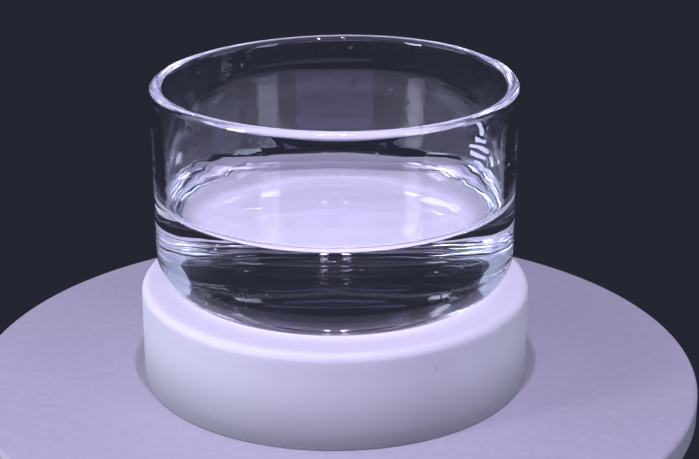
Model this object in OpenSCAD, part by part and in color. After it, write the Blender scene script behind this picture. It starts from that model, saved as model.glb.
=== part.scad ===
// Crystallizing dish: a low, flat-bottomed cylindrical glass dish with a beaded rim and no
// spout, part-filled with water, standing loose on a round plastic riser block.
// Millimetres. +Z is up, and the origin is the centre of the riser block's underside.

/* [Dish] */
// Outside diameter of the dish's wall
dish_d = 70; // [50:1:120]
// Height of the dish, from its foot to the top of its rim
dish_h = 40.7; // [36:0.1:75]
// Thickness of the wall
wall_t = 2.2; // [1.6:0.1:3]
// Thickness of the bottom at the foot ring
bottom_t = 2.4; // [1.8:0.1:4]
// Outside radius of the heel, where the wall turns into the bottom
heel_r = 7; // [4:0.5:9]
// Inside radius of the heel
heel_inside_r = 6; // [3:0.5:8]
// How much the rim's fire-polished bead exceeds half the wall's thickness, in its radius
bead_extra_r = 0.15; // [0.05:0.05:0.6]
// How far the bead stands out beyond the wall
bead_out = 0.2; // [0.1:0.05:0.6]
// Width of the flat foot ring that the dish stands on
foot_w = 3; // [2:0.5:6]
// Rise of the hollow under the bottom, at its centre
punt_h = 0.5; // [0.2:0.1:1]

/* [Water] */
// Level of the water above the dish's foot, away from the wall
water_level = 16.2; // [12:0.1:24]
// Angle at which the water meets the glass, in degrees
contact_angle = 22; // [5:1:60]
// Capillary length, which sets how far the water climbs the wall
capillary_length = 2.71; // [1.5:0.01:3]
// Clearance between the water's solid and the glass
water_gap = 0.05; // [0.02:0.01:0.2]

/* [Riser block] */
// Diameter of the riser block
riser_d = 76.2; // [60:0.1:130]
// Height of the riser block
riser_h = 19.05; // [10:0.05:40]
// Radius of the riser block's rounded top edge
riser_edge_r = 2; // [0.5:0.25:4]
// Size of the small chamfer round the riser block's underside
riser_chamfer = 0.25; // [0.1:0.05:1.5]

/* [Enamel marking] */
// Direction of the marking's middle, in degrees from +X towards +Y
mark_azimuth = 27; // [0:1:359]
// Width of the marking's longest bar, round the wall
mark_w = 9; // [6:0.5:20]
// Height of one bar
mark_bar_h = 1; // [0.6:0.1:1.6]
// Distance from one bar to the next, centre to centre
mark_pitch = 2.1; // [1.8:0.1:2.5]
// Distance of the marking's middle below the rim's top
mark_drop = 19.5; // [10:0.5:20]
// Thickness of the fired enamel
enamel_t = 0.1; // [0.05:0.01:0.2]

/* [Hidden] */
$fn = 180;

outer_r = dish_d / 2;
inner_r = outer_r - wall_t;
foot_outer_r = outer_r - heel_r;
foot_inner_r = foot_outer_r - foot_w;
bead_r = wall_t / 2 + bead_extra_r;
bead_centre_r = outer_r + bead_out - bead_r;
bead_centre_z = dish_h - bead_r;
// Radius of the shallow dome that hollows the bottom's underside
punt_dome_r = (foot_inner_r * foot_inner_r + punt_h * punt_h) / (2 * punt_h);
// Facets round that dome's whole circle, of which only a short arc is used
punt_dome_fn = 1440;

// The water's free surface follows the exact shape of a meniscus at an upright wall. At
// slope angle s the surface stands 2*a*sin(s/2) above the level, and its distance from the
// wall is a*(run(wall slope) - run(s)), where a is the capillary length.
wall_slope = 90 - contact_angle;
flat_slope = 2;
meniscus_steps = 14;
function meniscus_run(s) = 2 * cos(s / 2) + ln(tan(s / 4));
function meniscus_rise(s) = 2 * capillary_length * sin(s / 2);
function meniscus_offset(s) =
    capillary_length * (meniscus_run(wall_slope) - meniscus_run(s));
function slope_at(i) = wall_slope + (flat_slope - wall_slope) * i / meniscus_steps;

// The marking's bars, from the top one down, as shares of the longest bar's width
mark_bars = [0.55, 1, 0.8, 0.4];
mark_spot_d = 2;
// Free height between the marking's spot and its top bar
mark_spot_gap = 0.7;

// The half section of a round-cornered bowl: radius r, from z0 to z1, with the corner's radius
module bowl_section(r, z0, z1, corner) {
    translate([0, z0]) square([r - corner, z1 - z0]);
    translate([0, z0 + corner]) square([r, z1 - z0 - corner]);
    translate([r - corner, z0 + corner]) circle(r = corner);
}

// The hollow that the liquid goes in, smaller by gap all round
module hollow_section(gap, top) {
    bowl_section(inner_r - gap, bottom_t + gap, top, heel_inside_r - gap);
}

module wall_and_bottom_section() {
    difference() {
        bowl_section(outer_r, 0, bead_centre_z, heel_r);
        hollow_section(0, dish_h);
        translate([0, punt_h - punt_dome_r]) circle(r = punt_dome_r, $fn = punt_dome_fn);
    }
}

module right_half_plane() {
    translate([0, -dish_h]) square([2 * dish_d, 3 * dish_h]);
}

module riser_block() {
    color([0.86, 0.85, 0.93])
    rotate_extrude()
    difference() {
        union() {
            square([riser_d / 2 - riser_edge_r, riser_h]);
            square([riser_d / 2, riser_h - riser_edge_r]);
            translate([riser_d / 2 - riser_edge_r, riser_h - riser_edge_r])
                circle(r = riser_edge_r);
        }
        polygon([
            [riser_d / 2 - riser_chamfer, 0],
            [riser_d / 2 + riser_chamfer, -riser_chamfer],
            [riser_d / 2 + riser_chamfer, 2 * riser_chamfer],
            [riser_d / 2, riser_chamfer]
        ]);
    }
}

module glass_dish() {
    color([0.82, 0.88, 0.95, 0.35])
    translate([0, 0, riser_h])
    rotate_extrude()
    intersection() {
        union() {
            wall_and_bottom_section();
            translate([bead_centre_r, bead_centre_z]) circle(r = bead_r);
        }
        right_half_plane();
    }
}

module water() {
    surface = [
        for (i = [0 : meniscus_steps])
            let (s = slope_at(i))
            [inner_r - water_gap - meniscus_offset(s), water_level + meniscus_rise(s)]
    ];
    color([0.72, 0.8, 0.95, 0.4])
    translate([0, 0, riser_h])
    rotate_extrude()
    intersection() {
        hollow_section(water_gap, dish_h);
        polygon(concat([[0, 0], [inner_r, 0], [inner_r, surface[0][1]]], surface,
                       [[0, water_level]]));
    }
}

// A raised bar on the wall: its width round the wall, its height, and its middle's height
module enamel_bar(width, height, z) {
    angle = width / outer_r * 180 / PI;
    rotate([0, 0, mark_azimuth - angle / 2])
    rotate_extrude(angle = angle)
    translate([outer_r, z - height / 2]) square([enamel_t, height]);
}

// A raised round spot on the wall, as thick as the bars
module enamel_spot(diameter, z) {
    intersection() {
        difference() {
            translate([0, 0, z - diameter]) cylinder(r = outer_r + enamel_t, h = 2 * diameter);
            translate([0, 0, z - diameter - 1]) cylinder(r = outer_r, h = 2 * diameter + 2);
        }
        rotate([0, 0, mark_azimuth])
        translate([outer_r - wall_t, 0, z])
        rotate([0, 90, 0]) cylinder(d = diameter, h = 2 * wall_t);
    }
}

module enamel_marking() {
    top_bar_z = dish_h - mark_drop + (len(mark_bars) - 1) * mark_pitch / 2;
    color("white")
    translate([0, 0, riser_h]) {
        for (i = [0 : len(mark_bars) - 1])
            enamel_bar(mark_w * mark_bars[i], mark_bar_h, top_bar_z - i * mark_pitch);
        enamel_spot(mark_spot_d,
                    top_bar_z + mark_bar_h / 2 + mark_spot_gap + mark_spot_d / 2);
    }
}

riser_block();
glass_dish();
water();
enamel_marking();
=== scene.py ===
# %% [markdown]
# # A crystallizing dish on its riser block
# The object is a low glass dish with a rounded rim, part-filled with still water, standing
# loose on a round block of white plastic. Clear glass has hardly any colour of its own. What
# one sees is the bending of light at each surface, so the shapes and the order of the
# surfaces matter more here than any texture.

# %% Load the frame
import math

import bmesh
import bpy
from mathutils import Matrix, Vector, noise


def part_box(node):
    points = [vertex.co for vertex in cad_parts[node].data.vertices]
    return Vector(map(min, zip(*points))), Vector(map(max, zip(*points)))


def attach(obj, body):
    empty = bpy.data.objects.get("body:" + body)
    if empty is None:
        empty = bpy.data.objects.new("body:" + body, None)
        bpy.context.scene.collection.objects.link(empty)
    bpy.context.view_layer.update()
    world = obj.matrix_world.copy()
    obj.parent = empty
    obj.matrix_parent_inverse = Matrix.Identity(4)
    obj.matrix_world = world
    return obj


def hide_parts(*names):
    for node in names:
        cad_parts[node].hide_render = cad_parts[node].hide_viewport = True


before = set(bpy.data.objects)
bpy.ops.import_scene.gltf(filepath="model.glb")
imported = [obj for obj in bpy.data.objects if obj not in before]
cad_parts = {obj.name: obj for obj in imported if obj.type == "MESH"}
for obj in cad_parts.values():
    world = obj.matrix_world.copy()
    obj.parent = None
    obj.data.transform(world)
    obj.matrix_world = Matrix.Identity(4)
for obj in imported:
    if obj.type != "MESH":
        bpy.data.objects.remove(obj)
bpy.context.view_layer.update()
MM = 0.001

# %% [markdown]
# The CAD frame fixes the sizes that everything is built to. The outside sizes are read from
# the boxes of its nodes. The wall, the bottom and the roundings lie inside those boxes, so
# they are repeated here as named values.

# %% Sizes from the frame
riser_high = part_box("riser_block")[1]
dish_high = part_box("glass_dish")[1]

RISER_RADIUS = riser_high.x
RISER_TOP = riser_high.z
RIM_TOP = dish_high.z
BEAD_OUT = 0.2 * MM
WALL = 2.2 * MM
BOTTOM = 2.4 * MM
OUTER_RADIUS = dish_high.x - BEAD_OUT
INNER_RADIUS = OUTER_RADIUS - WALL
print(f"dish {2000 * OUTER_RADIUS:.1f} x {1000 * (RIM_TOP - RISER_TOP):.1f} mm, "
      f"inside radius {1000 * INNER_RADIUS:.1f} mm")

# %% [markdown]
# ## Camera
# A dish on a bench is usually looked at from a little above, so that the rim shows as a flat
# ellipse and both the water's surface and the wall below it can be seen. A long lens keeps
# the ellipses nearly parallel.

# %% Camera
CAMERA_PLACE = Vector((0, -328.8, 152.75)) * MM
CAMERA_PITCH = math.radians(20.66)
CAMERA_YAW = math.radians(0.495)

camera_data = bpy.data.cameras.new("camera")
camera_data.lens = 92.25
camera_data.sensor_width = 36
camera_data.clip_start = 0.01
camera = bpy.data.objects.new("camera", camera_data)
camera.location = CAMERA_PLACE
camera.rotation_euler = (math.pi / 2 - CAMERA_PITCH, 0, -CAMERA_YAW)
bpy.context.scene.collection.objects.link(camera)
bpy.context.scene.camera = camera
print("camera", round(CAMERA_PLACE.length, 3), "m from the middle of the riser's underside")

# %% [markdown]
# ## Studio
# Glassware shows best in a dark room with a few soft boxes and nothing bright behind it. The
# wall then stays clear and dark, and its edges pick the boxes up as bright lines. Light that
# is caught inside the wall and the rim is mirrored many times before it comes out, so the
# renderer is allowed many more bounces than it starts with.

# %% Dark room
ROOM_COLOUR = (0.0176, 0.0194, 0.031)
BOUNCES = 40
scene = bpy.context.scene
scene.view_settings.view_transform = "Standard"
scene.cycles.max_bounces = BOUNCES
scene.cycles.glossy_bounces = BOUNCES
scene.cycles.transmission_bounces = BOUNCES
scene.cycles.transparent_max_bounces = BOUNCES

room = bpy.data.worlds.new("dark_room")
room.use_nodes = True
room.node_tree.nodes["Background"].inputs["Color"].default_value = (*ROOM_COLOUR, 1)
room.node_tree.nodes["Background"].inputs["Strength"].default_value = 1
scene.world = room
print("bounces allowed:", scene.cycles.max_bounces)

# %% [markdown]
# Each soft box is given by where it stands, as one would set it up with a tape and a compass:
# so many degrees round from the camera's side, so many degrees up, and half a metre away. Two
# small lamps high above light the water and the top of the riser, and sparkle below the water
# line. Panels to the left and right draw the pale upright bars on the far wall, and a wide,
# low violet fill is mirrored there as a soft glow. The boxes at the sides and behind pick out
# the ends of the rim and the edges of the wall.

# %% Soft boxes
DISTANCE = 0.5
AIM = Vector((0, 0, (RISER_TOP + RIM_TOP) / 2))
VIOLET = (0.74, 0.63, 1.0)
DEEP_VIOLET = (0.50, 0.42, 1.0)
LAVENDER = (0.76, 0.77, 1.0)
BLUE = (0.60, 0.68, 1.0)


def add_soft_box(name, round_to, up, size, watts, colour):
    """A soft box round_to degrees from the camera's side, plus to the right, and up degrees."""
    light = bpy.data.lights.new(name, "AREA")
    light.shape = "RECTANGLE"
    light.size, light.size_y = size
    light.energy = watts
    light.color = colour
    box = bpy.data.objects.new(name, light)
    turned, raised = math.radians(round_to), math.radians(up)
    away = Vector((math.sin(turned) * math.cos(raised),
                   -math.cos(turned) * math.cos(raised), math.sin(raised)))
    box.location = AIM + DISTANCE * away
    box.rotation_euler = (-away).to_track_quat("-Z", "Y").to_euler()
    scene.collection.objects.link(box)
    return box


add_soft_box("strip_left", -14, 72, (0.020, 0.08), 1.35, VIOLET)
add_soft_box("strip_right", 14, 72, (0.020, 0.08), 1.35, VIOLET)
add_soft_box("panel_left", -59, 12, (0.10, 0.28), 2.10, LAVENDER)
add_soft_box("panel_right", 49, 14, (0.13, 0.30), 0.90, LAVENDER)
add_soft_box("front_fill", 0, 20, (0.50, 0.10), 0.45, DEEP_VIOLET)
add_soft_box("side_left", -90, 28, (0.28, 0.18), 0.60, BLUE)
add_soft_box("side_right", 84, 14, (0.20, 0.28), 0.36, BLUE)
add_soft_box("rear_left", -135, 12, (0.28, 0.28), 0.14, BLUE)
add_soft_box("rear_right", 135, 12, (0.28, 0.28), 0.16, BLUE)

# %% [markdown]
# ## Turning a section on a lathe
# Every piece but the marking and the drops is a body of revolution. Half of its section is
# drawn as a wire of a few corners, the corners are rounded with a vertex bevel, and a full
# spin turns the wire into a surface. That is how a lathe works, and it keeps each radius a
# single number. The spin leaves double points on the axis and where the turn closes, so they
# are merged before the normals are made to point outwards.

# %% The lathe
TURN_STEPS = 192
MERGE_DISTANCE = 1e-7


def section_wire(corners):
    """A bmesh wire through corners, each (radius, height, rounding, segments)."""
    section = bmesh.new()
    points = [section.verts.new((radius, 0, height)) for radius, height, _, _ in corners]
    for start, end in zip(points, points[1:]):
        section.edges.new((start, end))
    for point, (_, _, rounding, segments) in zip(points, corners):
        if rounding:
            bmesh.ops.bevel(section, geom=[point], offset=rounding, offset_type="OFFSET",
                            segments=segments, profile=0.5, affect="VERTICES", material=-1)
    return section


def refine(section, longest):
    """Cuts the wire's longer edges into equal parts no longer than longest."""
    for edge in section.edges[:]:
        cuts = math.ceil(edge.calc_length() / longest) - 1
        if cuts > 0:
            bmesh.ops.subdivide_edges(section, edges=[edge], cuts=cuts)
    return section


def turn(section):
    """Spins the section once round the Z axis, and closes it."""
    bmesh.ops.spin(section, geom=section.verts[:] + section.edges[:], cent=(0, 0, 0),
                   axis=(0, 0, 1), angle=2 * math.pi, steps=TURN_STEPS, use_merge=True)
    bmesh.ops.remove_doubles(section, verts=section.verts, dist=MERGE_DISTANCE)
    bmesh.ops.recalc_face_normals(section, faces=section.faces)
    return section


def finish_piece(shape, name, materials):
    """Makes the bmesh a smooth-shaded object of that name with those materials."""
    mesh = bpy.data.meshes.new(name)
    for face in shape.faces:
        face.smooth = True
    shape.to_mesh(mesh)
    shape.free()
    for material in materials:
        mesh.materials.append(material)
    piece = bpy.data.objects.new(name, mesh)
    scene.collection.objects.link(piece)
    print(name, len(mesh.vertices), "points,", len(mesh.polygons), "faces")
    return piece


# %% [markdown]
# ## Effects that several finishes share
# Dust settles on everything, and nothing is quite even in colour or quite flat. These effects
# are built once, as node groups, and every finish uses them with its own values. The first
# group scatters round specks: it takes cells of a Voronoi pattern and keeps a dot in the
# middle of a few of them.

# %% Helpers for nodes


def new_group(name, inputs, outputs):
    """An empty node group; inputs are (name, kind, default) and outputs are (name, kind)."""
    group = bpy.data.node_groups.new(name, "ShaderNodeTree")
    for socket_name, kind, default in inputs:
        socket = group.interface.new_socket(socket_name, in_out="INPUT", socket_type=kind)
        if default is not None:
            socket.default_value = default
    for socket_name, kind in outputs:
        group.interface.new_socket(socket_name, in_out="OUTPUT", socket_type=kind)
    return group, group.nodes.new("NodeGroupInput"), group.nodes.new("NodeGroupOutput")


def add_math(tree, operation, *values):
    """A Math node; each value is a number or a socket."""
    node = tree.nodes.new("ShaderNodeMath")
    node.operation = operation
    for place, value in enumerate(values):
        if isinstance(value, (int, float)):
            node.inputs[place].default_value = value
        else:
            tree.links.new(value, node.inputs[place])
    return node.outputs["Value"]


# %% Specks of dust
EMPTY_CELLS = 0.85
dust_specks, given, made = new_group(
    "dust_specks",
    [("Position", "NodeSocketVector", None), ("Cells per metre", "NodeSocketFloat", 250.0),
     ("Speck size", "NodeSocketFloat", 0.1)],
    [("Mask", "NodeSocketFloat")])
cells = dust_specks.nodes.new("ShaderNodeTexVoronoi")
dust_specks.links.new(given.outputs["Position"], cells.inputs["Vector"])
dust_specks.links.new(given.outputs["Cells per metre"], cells.inputs["Scale"])
cell_colour = dust_specks.nodes.new("ShaderNodeSeparateColor")
dust_specks.links.new(cells.outputs["Color"], cell_colour.inputs["Color"])
near_middle = add_math(dust_specks, "LESS_THAN", cells.outputs["Distance"],
                       given.outputs["Speck size"])
kept = add_math(dust_specks, "GREATER_THAN", cell_colour.outputs["Red"], EMPTY_CELLS)
dust_specks.links.new(add_math(dust_specks, "MULTIPLY", near_middle, kept),
                      made.inputs["Mask"])
print("dust leaves a dot in", round(1 - EMPTY_CELLS, 2), "of the cells")

# %% [markdown]
# The second group varies a colour softly between two shades, as plastic, paint and enamel do.
# The third gives a gentle height for a Bump node, with a coarse and a fine part, which glass
# needs most: it is never as true as a ground lens.

# %% Soft change of shade
shade_change, given, made = new_group(
    "shade_change",
    [("Position", "NodeSocketVector", None), ("Patches per metre", "NodeSocketFloat", 60.0),
     ("Darker", "NodeSocketColor", (0.7, 0.7, 0.7, 1)),
     ("Lighter", "NodeSocketColor", (0.8, 0.8, 0.8, 1))],
    [("Colour", "NodeSocketColor"), ("Value", "NodeSocketFloat")])
patches = shade_change.nodes.new("ShaderNodeTexNoise")
patches.inputs["Detail"].default_value = 4
shade_change.links.new(given.outputs["Position"], patches.inputs["Vector"])
shade_change.links.new(given.outputs["Patches per metre"], patches.inputs["Scale"])
blend_shades = shade_change.nodes.new("ShaderNodeMix")
blend_shades.data_type = "RGBA"
shade_change.links.new(patches.outputs["Fac"], blend_shades.inputs["Factor"])
shade_change.links.new(given.outputs["Darker"], blend_shades.inputs["A"])
shade_change.links.new(given.outputs["Lighter"], blend_shades.inputs["B"])
shade_change.links.new(blend_shades.outputs["Result"], made.inputs["Colour"])
shade_change.links.new(patches.outputs["Fac"], made.inputs["Value"])
print("shade_change blends two shades with", len(shade_change.nodes), "nodes")

# %% Gentle unevenness
FINE_TO_COARSE = 6
FINE_SHARE = 0.12
unevenness, given, made = new_group(
    "unevenness",
    [("Position", "NodeSocketVector", None), ("Waves per metre", "NodeSocketFloat", 150.0)],
    [("Height", "NodeSocketFloat")])
coarse = unevenness.nodes.new("ShaderNodeTexNoise")
fine = unevenness.nodes.new("ShaderNodeTexNoise")
coarse.inputs["Detail"].default_value = 1
fine.inputs["Detail"].default_value = 2
for waves in (coarse, fine):
    unevenness.links.new(given.outputs["Position"], waves.inputs["Vector"])
unevenness.links.new(given.outputs["Waves per metre"], coarse.inputs["Scale"])
fine_waves = add_math(unevenness, "MULTIPLY", given.outputs["Waves per metre"],
                      FINE_TO_COARSE)
unevenness.links.new(fine_waves, fine.inputs["Scale"])
fine_part = add_math(unevenness, "MULTIPLY", fine.outputs["Fac"], FINE_SHARE)
unevenness.links.new(add_math(unevenness, "ADD", coarse.outputs["Fac"], fine_part),
                     made.inputs["Height"])
print("groups:", sorted(group.name for group in bpy.data.node_groups))

# %% [markdown]
# A finish starts as a Principled shader. These helpers place a shared group in it, fed with
# the piece's own coordinates in metres, and lead a height through a Bump node.

# %% Helpers for finishes


def new_finish(name):
    """A material with its shader and a socket that gives the place on the piece."""
    material = bpy.data.materials.new(name)
    material.use_nodes = True
    place = material.node_tree.nodes.new("ShaderNodeTexCoord").outputs["Object"]
    return material, material.node_tree.nodes["Principled BSDF"], place


def use_group(material, group, place, **values):
    """The group's node in the material; values are for its inputs, _ standing for a space."""
    node = material.node_tree.nodes.new("ShaderNodeGroup")
    node.node_tree = group
    material.node_tree.links.new(place, node.inputs["Position"])
    for socket_name, value in values.items():
        node.inputs[socket_name.replace("_", " ")].default_value = value
    return node


def add_bump(material, shader, height, depth, before=None):
    """Bends the shader's normal by a height whose full range is depth, in metres."""
    bump = material.node_tree.nodes.new("ShaderNodeBump")
    bump.inputs["Strength"].default_value = 1
    bump.inputs["Distance"].default_value = depth
    material.node_tree.links.new(height, bump.inputs["Height"])
    if before is not None:
        material.node_tree.links.new(before.outputs["Normal"], bump.inputs["Normal"])
    material.node_tree.links.new(bump.outputs["Normal"], shader.inputs["Normal"])
    return bump


# %% [markdown]
# ## Clear finishes
# Light bends where two clear materials meet, and by how much depends on the ratio of their
# refractive indices. There are three such meetings here: air to glass, air to water and water
# to glass. Giving each meeting its own surface is exact, and it needs the glass inside the
# dish to change its index at the water line.
#
# What the camera sees through the glass is bent exactly. The light that the lamps throw on
# the riser through the dish is let straight through instead, with a Transparent shader for
# shadow and diffuse rays. Real light is bent there too, but only by a little, and bending it
# would cost very many samples for a grainy picture.

# %% Clear finish
GLASS_INDEX = 1.473
WATER_INDEX = 1.333
DULL_SPECK = 0.35
WALL_WAVE = 0.006 * MM
WATER_WAVE = 0.010 * MM


def clear_finish(name, index, colour, waves, wave_depth, upright, dust_cells, dust_size):
    """A clear, slightly uneven and dusty surface that bends light by index.

    There are about that many waves to a metre round the axis, each upright times as tall as
    wide. Dust falls in some of the dust_cells to a metre.
    """
    material, shader, place = new_finish(name)
    nodes, links = material.node_tree.nodes, material.node_tree.links
    shader.inputs["Base Color"].default_value = (*colour, 1)
    shader.inputs["IOR"].default_value = index
    shader.inputs["Transmission Weight"].default_value = 1
    dust = use_group(material, dust_specks, place, Cells_per_metre=dust_cells,
                     Speck_size=dust_size)
    links.new(add_math(material.node_tree, "MULTIPLY", dust.outputs["Mask"], DULL_SPECK),
              shader.inputs["Roughness"])
    drawn_out = nodes.new("ShaderNodeVectorMath")
    drawn_out.operation = "MULTIPLY"
    drawn_out.inputs[1].default_value = (1, 1, 1 / upright)
    links.new(place, drawn_out.inputs[0])
    uneven = use_group(material, unevenness, drawn_out.outputs["Vector"],
                       Waves_per_metre=waves)
    add_bump(material, shader, uneven.outputs["Height"], wave_depth)
    rays = nodes.new("ShaderNodeLightPath")
    passing = nodes.new("ShaderNodeBsdfTransparent")
    surface = shader.outputs["BSDF"]
    for kind in ("Is Shadow Ray", "Is Diffuse Ray"):
        choice = nodes.new("ShaderNodeMixShader")
        links.new(rays.outputs[kind], choice.inputs["Fac"])
        links.new(surface, choice.inputs[1])
        links.new(passing.outputs["BSDF"], choice.inputs[2])
        surface = choice.outputs["Shader"]
    links.new(surface, nodes["Material Output"].inputs["Surface"])
    return material


clear_glass = clear_finish("clear_glass", GLASS_INDEX, (0.97, 0.975, 1.0),
                           140, WALL_WAVE, 4, 260, 0.10)
wetted_glass = clear_finish("wetted_glass", GLASS_INDEX / WATER_INDEX, (0.99, 0.995, 1.0),
                            140, WALL_WAVE, 4, 200, 0.06)
water_surface = clear_finish("water_surface", WATER_INDEX, (0.99, 0.995, 1.0),
                             70, WATER_WAVE, 1, 130, 0.05)

# %% [markdown]
# The water's side and underside lie a hair's breadth inside the glass. The wetted glass
# already bends the light there, so this surface must do nothing at all, and is fully clear.

# %% Hidden side of the water
water_side = bpy.data.materials.new("water_side")
water_side.use_nodes = True
water_side.node_tree.nodes["Principled BSDF"].inputs["Alpha"].default_value = 0
print("clear finishes:", clear_glass.name, wetted_glass.name, water_surface.name)

# %% [markdown]
# ## White plastic
# The riser is a slice of white plastic rod, faced and turned on a lathe. The plastic lets
# light in a little way, which softens its shadows, so it gets subsurface scattering. The tool
# leaves fine rings on the faces and fine lines round the side. Both come from wave patterns,
# one of rings round the axis and one of bands along it, added as one height. The middle of
# the top, where the dish stands, keeps its colour. Painted shade darkens the outer ring of the
# top, and darkens the side more and more towards the foot.

# %% White plastic
TOOL_PITCH = 0.45 * MM
WAVE_SCALE = math.pi / (10 * TOOL_PITCH)  # a Wave Texture repeats every pi / (10 scale)
# Painted shade on the riser: on the top it starts at the first radius and is full at the
# second, and on the side it starts at this height and is full at the foot.
UNSHADED_RADIUS = 27 * MM
EDGE_RADIUS = 34 * MM
SHADE_HEIGHT = 14 * MM
# Colour of the painted shade, multiplied into the plastic's colour.
PAINTED_SHADE = (0.3, 0.3, 0.3, 1)
TOOL_DEPTH = 0.004 * MM
WEAR_DEPTH = 0.03 * MM
riser_plastic, plastic_shader, place = new_finish("riser_plastic")
plastic_nodes, plastic_links = riser_plastic.node_tree.nodes, riser_plastic.node_tree.links
plastic_shader.inputs["Subsurface Weight"].default_value = 1
plastic_shader.inputs["Subsurface Radius"].default_value = (1, 1, 1)
plastic_shader.inputs["Subsurface Scale"].default_value = 3 * MM
plastic_shade = use_group(riser_plastic, shade_change, place, Patches_per_metre=45,
                          Darker=(0.89, 0.89, 0.89, 1), Lighter=(0.96, 0.96, 0.96, 1))
plastic_dust = use_group(riser_plastic, dust_specks, place, Cells_per_metre=160,
                         Speck_size=0.05)
dusty = plastic_nodes.new("ShaderNodeMix")
dusty.data_type = "RGBA"
plastic_links.new(plastic_dust.outputs["Mask"], dusty.inputs["Factor"])
plastic_links.new(plastic_shade.outputs["Colour"], dusty.inputs["A"])
dusty.inputs["B"].default_value = (0.62, 0.61, 0.62, 1)
place_parts = plastic_nodes.new("ShaderNodeSeparateXYZ")
plastic_links.new(place, place_parts.inputs["Vector"])
from_axis = add_math(riser_plastic.node_tree, "SQRT", add_math(
    riser_plastic.node_tree, "ADD",
    add_math(riser_plastic.node_tree, "POWER", place_parts.outputs["X"], 2),
    add_math(riser_plastic.node_tree, "POWER", place_parts.outputs["Y"], 2)))


def add_painted_shade(colour, measure, no_shade_at, full_shade_at, strength):
    """Darkens colour with painted shade, by nothing where measure is at its first bound and by
    strength where it is at its second.
    """
    ramp = plastic_nodes.new("ShaderNodeMapRange")
    ramp.interpolation_type = "SMOOTHSTEP"
    ramp.inputs["From Min"].default_value = no_shade_at
    ramp.inputs["From Max"].default_value = full_shade_at
    ramp.inputs["To Max"].default_value = strength
    plastic_links.new(measure, ramp.inputs["Value"])
    shade_mix = plastic_nodes.new("ShaderNodeMix")
    shade_mix.data_type = "RGBA"
    shade_mix.blend_type = "MULTIPLY"
    plastic_links.new(ramp.outputs["Result"], shade_mix.inputs["Factor"])
    plastic_links.new(colour, shade_mix.inputs["A"])
    shade_mix.inputs["B"].default_value = PAINTED_SHADE
    return shade_mix.outputs["Result"]


# Painted shade: the outer ring of the top is darkened towards the edge, to tone down how
# brightly the lamps light it.
edge_painted_shade = add_painted_shade(dusty.outputs["Result"], from_axis, UNSHADED_RADIUS, EDGE_RADIUS, 0.50)
# Painted shade: the side grows darker towards the foot, as the light from above falls off down
# it.
foot_painted_shade = add_painted_shade(edge_painted_shade, place_parts.outputs["Z"], SHADE_HEIGHT, 0, 0.72)
plastic_links.new(foot_painted_shade, plastic_shader.inputs["Base Color"])
plastic_roughness = add_math(riser_plastic.node_tree, "MULTIPLY_ADD",
                             plastic_shade.outputs["Value"], 0.2, 0.48)
plastic_links.new(plastic_roughness, plastic_shader.inputs["Roughness"])

# %% Turning marks
tool_lines = []
for wave_type in ("RINGS", "BANDS"):
    tool_line = plastic_nodes.new("ShaderNodeTexWave")
    tool_line.wave_type = wave_type
    tool_line.rings_direction = "Z"
    tool_line.bands_direction = "Z"
    tool_line.inputs["Scale"].default_value = WAVE_SCALE
    tool_line.inputs["Distortion"].default_value = 0.6
    tool_line.inputs["Detail"].default_value = 1
    plastic_links.new(place, tool_line.inputs["Vector"])
    tool_lines.append(tool_line.outputs["Fac"])
tool_height = add_math(riser_plastic.node_tree, "ADD", *tool_lines)
tool_bump = add_bump(riser_plastic, plastic_shader, tool_height, TOOL_DEPTH)
plastic_uneven = use_group(riser_plastic, unevenness, place, Waves_per_metre=240)
add_bump(riser_plastic, plastic_shader, plastic_uneven.outputs["Height"], WEAR_DEPTH,
         before=tool_bump)
print(f"turning marks every {1000 * TOOL_PITCH:.2f} mm")

# %% [markdown]
# ## White enamel
# The maker's marking is printed in white enamel and fired on. After years of washing it is a
# little chalky and pinholed, so it gets a changing shade, a rough and slightly bumpy surface,
# and small grey holes.

# %% White enamel
white_enamel, enamel_shader, place = new_finish("white_enamel")
enamel_links = white_enamel.node_tree.links
enamel_shade = use_group(white_enamel, shade_change, place, Patches_per_metre=900,
                         Darker=(0.62, 0.63, 0.66, 1), Lighter=(0.95, 0.95, 0.97, 1))
enamel_holes = use_group(white_enamel, dust_specks, place, Cells_per_metre=3000,
                         Speck_size=0.3)
worn = white_enamel.node_tree.nodes.new("ShaderNodeMix")
worn.data_type = "RGBA"
enamel_links.new(enamel_holes.outputs["Mask"], worn.inputs["Factor"])
enamel_links.new(enamel_shade.outputs["Colour"], worn.inputs["A"])
worn.inputs["B"].default_value = (0.35, 0.36, 0.39, 1)
enamel_links.new(worn.outputs["Result"], enamel_shader.inputs["Base Color"])
enamel_links.new(add_math(white_enamel.node_tree, "MULTIPLY_ADD",
                          enamel_shade.outputs["Value"], 0.3, 0.35),
                 enamel_shader.inputs["Roughness"])
enamel_grain = use_group(white_enamel, unevenness, place, Waves_per_metre=2500)
add_bump(white_enamel, enamel_shader, enamel_grain.outputs["Height"], 0.02 * MM)
print("white_enamel has", len(white_enamel.node_tree.nodes), "nodes")

# %% [markdown]
# ## Table
# A round, pale painted board stands in for the bench. Paint that was rolled on has a fine
# orange-peel surface and is a little uneven in shade.

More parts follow.
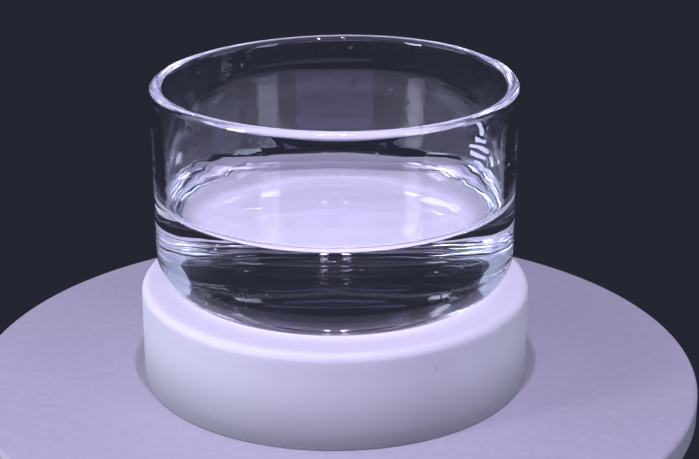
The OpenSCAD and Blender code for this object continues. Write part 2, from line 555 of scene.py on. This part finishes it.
# %% Table
TABLE_RADIUS = 72 * MM
TABLE_DEPTH = 6 * MM
TABLE_EDGE = 1 * MM
table_paint, paint_shader, place = new_finish("table_paint")
paint_shade = use_group(table_paint, shade_change, place, Patches_per_metre=500,
                        Darker=(0.33, 0.33, 0.35, 1), Lighter=(0.41, 0.41, 0.43, 1))
table_paint.node_tree.links.new(paint_shade.outputs["Colour"],
                                paint_shader.inputs["Base Color"])
paint_shader.inputs["Roughness"].default_value = 0.6
orange_peel = use_group(table_paint, unevenness, place, Waves_per_metre=700)
add_bump(table_paint, paint_shader, orange_peel.outputs["Height"], 0.06 * MM)
table_wire = section_wire([
    (0, -TABLE_DEPTH, 0, 0), (TABLE_RADIUS, -TABLE_DEPTH, TABLE_EDGE, 6),
    (TABLE_RADIUS, 0, TABLE_EDGE, 6), (0, 0, 0, 0)])
table = finish_piece(turn(table_wire), "table", [table_paint])

# %% [markdown]
# ## Riser block
# The block is a plain disc with a rounded upper edge and a small broken edge underneath. A
# cube or a cylinder with a bevel modifier would do, but the lathe gives exact radii.

# %% Riser block
RISER_EDGE = 1.6 * MM
RISER_CHAMFER = 0.25 * MM
RISER_STEP = 4 * MM
riser_wire = section_wire([
    (0, 0, 0, 0), (RISER_RADIUS - RISER_CHAMFER, 0, 0, 0), (RISER_RADIUS, RISER_CHAMFER, 0, 0),
    (RISER_RADIUS, RISER_TOP, RISER_EDGE, 12), (0, RISER_TOP, 0, 0)])
riser_disc = finish_piece(turn(refine(riser_wire, RISER_STEP)), "riser_disc", [riser_plastic])
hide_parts("riser_block")
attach(riser_disc, "riser")

# %% [markdown]
# ## Where the water ends
# Water climbs a clean glass wall a little way, in a curve called the meniscus. Its shape
# follows from the surface tension, and is known exactly: where the surface slopes at an angle
# s, it stands 2 a sin(s/2) above the level, a being the capillary length of water. The glass
# needs the height where the water ends, so the curve comes before the dish.

# %% Meniscus
WATER_LEVEL = RISER_TOP + 16.2 * MM
CAPILLARY_LENGTH = 2.71 * MM
CONTACT_ANGLE = 22
MENISCUS_STEPS = 28
FLAT_SLOPE = math.radians(1)
wall_slope = math.radians(90 - CONTACT_ANGLE)


def meniscus_rise(slope):
    return 2 * CAPILLARY_LENGTH * math.sin(slope / 2)


def meniscus_run(slope):
    """How far the surface has come from where it would stand upright, at that slope."""
    return CAPILLARY_LENGTH * (2 * math.cos(slope / 2) + math.log(math.tan(slope / 4)))


contact_height = WATER_LEVEL + meniscus_rise(wall_slope)
print(f"the water climbs {1000 * (contact_height - WATER_LEVEL):.2f} mm up the wall")

# %% [markdown]
# ## Glass dish
# The dish is blown and turned from borosilicate glass, and its rim is melted round. The
# section is one closed run: under the bottom, which is pushed up a little so that the dish
# stands on a ring, round the heel, up the outside, over the rim and down the inside. The two
# arcs over the rim end a hair apart, so that no two of their points fall together, and a thin
# layer of air is left under the foot, as there is under any dry glass.

# %% Section of the dish
HEEL = 7 * MM
HEEL_INSIDE = 6 * MM
FOOT_WIDTH = 3 * MM
PUNT = 0.5 * MM
FOOT_ROUNDING = 1.5 * MM
AIR_GAP = 0.03 * MM
RIM_DEPTH = 6 * MM
RIM_BLEND = 1.8 * MM
BEAD_DEPTH = 2.2 * MM
BEAD_BLEND = 0.8 * MM
ARCS_APART = 0.999
EDGE_LENGTH = 0.7 * MM

foot = RISER_TOP + AIR_GAP
bead_outside = OUTER_RADIUS + BEAD_OUT
bead_radius = (bead_outside - INNER_RADIUS) / 2 * ARCS_APART
dish_wire = section_wire([
    (0, foot + PUNT, 0, 0),
    (OUTER_RADIUS - HEEL - FOOT_WIDTH, foot, FOOT_ROUNDING, 6),
    (OUTER_RADIUS, foot, HEEL, 24),
    (OUTER_RADIUS, RIM_TOP - RIM_DEPTH, RIM_BLEND, 4),
    (bead_outside, RIM_TOP - BEAD_DEPTH, BEAD_BLEND, 4),
    (bead_outside, RIM_TOP, bead_radius, 14),
    (INNER_RADIUS, RIM_TOP, bead_radius, 14),
    (INNER_RADIUS, contact_height, 0, 0),
    (INNER_RADIUS, RISER_TOP + BOTTOM, HEEL_INSIDE, 20),
    (0, RISER_TOP + BOTTOM, 0, 0)])
dish_shape = turn(refine(dish_wire, EDGE_LENGTH))
print(f"bead {2000 * bead_radius:.1f} mm thick, dish of {len(dish_shape.verts)} points")

# %% [markdown]
# Glass worked by hand isn't even. The wall carries faint rings from turning in the flame and
# broad, soft swells, a few hundredths of a millimetre high. They are what makes the
# reflections in it waver. Noise that is read in space, at the point itself, meets up with
# itself all the way round. The swells die out at the foot, which must stand flat, and at the
# rim.

# %% Swells and rings in the wall
RING_PITCH = 2.6 * MM
RING_HEIGHT = 0.010 * MM
SWELL_WIDTH = 26 * MM
SWELL_DEPTH = 5 * MM
SWELL_HEIGHT = 0.018 * MM
OUTSIDE_OFFSET = Vector((5, 7, 3))
OUTSIDE_RINGS = 0.3
RING_DRIFT = 4
RIM_FADE = 2 * MM


def wall_swell(point, outside):
    """How far the glass stands proud at that point, in metres."""
    place = Vector((point.x / SWELL_WIDTH, point.y / SWELL_WIDTH, point.z / SWELL_DEPTH))
    place += OUTSIDE_OFFSET * outside
    drift = noise.noise(place * 0.5)
    rings = math.sin(2 * math.pi * point.z / RING_PITCH + RING_DRIFT * drift + 2 * outside)
    ring_height = RING_HEIGHT * (OUTSIDE_RINGS if outside else 1)
    return SWELL_HEIGHT * noise.noise(place) + ring_height * rings


dish_shape.normal_update()
moves = {}
for vertex in dish_shape.verts:
    out = Vector((vertex.co.x, vertex.co.y)).length
    outside = int(out > (OUTER_RADIUS + INNER_RADIUS) / 2
                  or vertex.co.z < RISER_TOP + BOTTOM / 2)
    held = min(1, (vertex.co.z - foot) / PUNT, (RIM_TOP - vertex.co.z) / RIM_FADE)
    moves[vertex] = vertex.normal * wall_swell(vertex.co, outside) * max(0, held)
for vertex, move in moves.items():
    vertex.co += move
print(f"largest swell {1e6 * max(move.length for move in moves.values()):.0f} micrometres")

# %% [markdown]
# The rim isn't level either. It was melted round while the dish turned, and its lowest point
# lies almost a millimetre below its highest. Two slow waves round the dish describe it: one
# for a rim that leans, and one for a rim that is bent like a saddle. HIGHEST is what they
# add up to at their highest, so the rim's highest point keeps its height. The move fades out
# down the wall, so the water line stays level.

# %% Uneven rim
LEAN, LEAN_SIDE = 0.28 * MM, math.radians(-61)
SADDLE, SADDLE_SIDE = 0.26 * MM, math.radians(49)
HIGHEST = 0.39 * MM
for vertex in dish_shape.verts:
    side = math.atan2(vertex.co.y, vertex.co.x)
    lift = (LEAN * math.cos(side - LEAN_SIDE) + SADDLE * math.cos(2 * (side - SADDLE_SIDE))
            - HIGHEST)
    share = max(0, (vertex.co.z - contact_height) / (RIM_TOP - contact_height))
    vertex.co.z += lift * share * share * (3 - 2 * share)
rim_height = max(vertex.co.z for vertex in dish_shape.verts) - RISER_TOP
print(f"rim's highest point {1000 * rim_height:.2f} mm above the riser")

# %% [markdown]
# The faces inside the dish that lie below the contact line get the wetted finish.

# %% Dish
for face in dish_shape.faces:
    middle = face.calc_center_median()
    inside = math.hypot(middle.x, middle.y) < (OUTER_RADIUS + INNER_RADIUS) / 2
    above_bottom = middle.z > RISER_TOP + BOTTOM / 2
    face.material_index = int(inside and above_bottom and middle.z < contact_height)
dish_glass = finish_piece(dish_shape, "dish_glass", [clear_glass, wetted_glass])
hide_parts("glass_dish")
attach(dish_glass, "dish")

# %% [markdown]
# ## Water
# The water fills the dish to just inside the glass. Its surface is flat in the middle and
# follows the meniscus curve to the wall.

# %% Water
WATER_GAP = 0.05 * MM
UPRIGHT = 0.01


def meniscus_point(step):
    """The (distance from the wall, height above the level) at that step from the wall."""
    slope = wall_slope + (FLAT_SLOPE - wall_slope) * step / MENISCUS_STEPS
    return meniscus_run(wall_slope) - meniscus_run(slope), meniscus_rise(slope)


water_radius = INNER_RADIUS - WATER_GAP
water_bottom = RISER_TOP + BOTTOM + WATER_GAP
surface_points = [meniscus_point(step) for step in range(MENISCUS_STEPS + 1)]
water_wire = section_wire(
    [(0, water_bottom, 0, 0), (water_radius, water_bottom, HEEL_INSIDE - WATER_GAP, 20)]
    + [(water_radius - run, WATER_LEVEL + rise, 0, 0) for run, rise in surface_points]
    + [(0, WATER_LEVEL, 0, 0)])
water_shape = turn(water_wire)
for face in water_shape.faces:
    middle = face.calc_center_median()
    at_side = math.hypot(middle.x, middle.y) > water_radius - 0.001 * MM
    face.material_index = int(face.normal.z < UPRIGHT or at_side)
surface_faces = sum(face.material_index == 0 for face in water_shape.faces)
print(f"water {2000 * water_radius:.1f} mm across, {surface_faces} faces of surface")

# %% [markdown]
# A few small drops cling to the inside of the wall above the water, left there when the dish
# was filled. Each is half of a flattened ball that hangs a little heavier at its foot, with
# its flat back to the glass.

# %% Drops
DROP_FLATNESS = 0.35
DROP_TOP, DROP_FOOT = 1.05, 1.35
# Each drop's side in degrees from +X, height above the water's level and radius in mm.
DROPS = [(151, 7.2, 0.55), (147, 6.1, 0.40), (128, 13.5, 0.60), (104, 15.2, 0.35),
         (96, 9.6, 0.45), (83, 14.1, 0.55), (71, 12.2, 0.40), (58, 15.0, 0.65),
         (162, 12.8, 0.50), (171, 4.9, 0.45), (47, 5.4, 0.45), (116, 4.6, 0.35)]


def add_drop(shape, side, height, radius):
    """Adds one drop to the shape."""
    ball = bmesh.ops.create_uvsphere(shape, u_segments=20, v_segments=12, radius=radius * MM)
    points = ball["verts"]
    for point in points:
        point.co.z *= DROP_FOOT if point.co.z < 0 else DROP_TOP
        point.co.x *= DROP_FLATNESS
    edges = {edge for point in points for edge in point.link_edges}
    faces = {face for point in points for face in point.link_faces}
    cut = bmesh.ops.bisect_plane(shape, geom=points + list(edges) + list(faces),
                                 plane_co=(0, 0, 0), plane_no=(1, 0, 0), clear_outer=True)
    rim = [item for item in cut["geom_cut"] if isinstance(item, bmesh.types.BMEdge)]
    back = bmesh.ops.holes_fill(shape, edges=rim, sides=0)["faces"]
    for face in back:
        face.material_index = 1
    left = {vertex for vertex in points if vertex.is_valid} | {
        vertex for edge in rim for vertex in edge.verts}
    place = (Matrix.Rotation(math.radians(side), 4, "Z")
             @ Matrix.Translation((water_radius, 0, WATER_LEVEL + height * MM)))
    bmesh.ops.transform(shape, matrix=place, verts=list(left))


for drop in DROPS:
    add_drop(water_shape, *drop)
bmesh.ops.recalc_face_normals(water_shape, faces=water_shape.faces)
water_fill = finish_piece(water_shape, "water_fill", [water_surface, water_side])
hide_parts("water")
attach(water_fill, "dish")

# %% [markdown]
# ## Marking
# The marking is thin and flat, and the CAD shape is already right, so it is kept and only
# gets its finish.

# %% Marking
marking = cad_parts["enamel_marking"]
marking.data.materials.clear()
marking.data.materials.append(white_enamel)
print("marking's finish:", marking.data.materials[0].name)
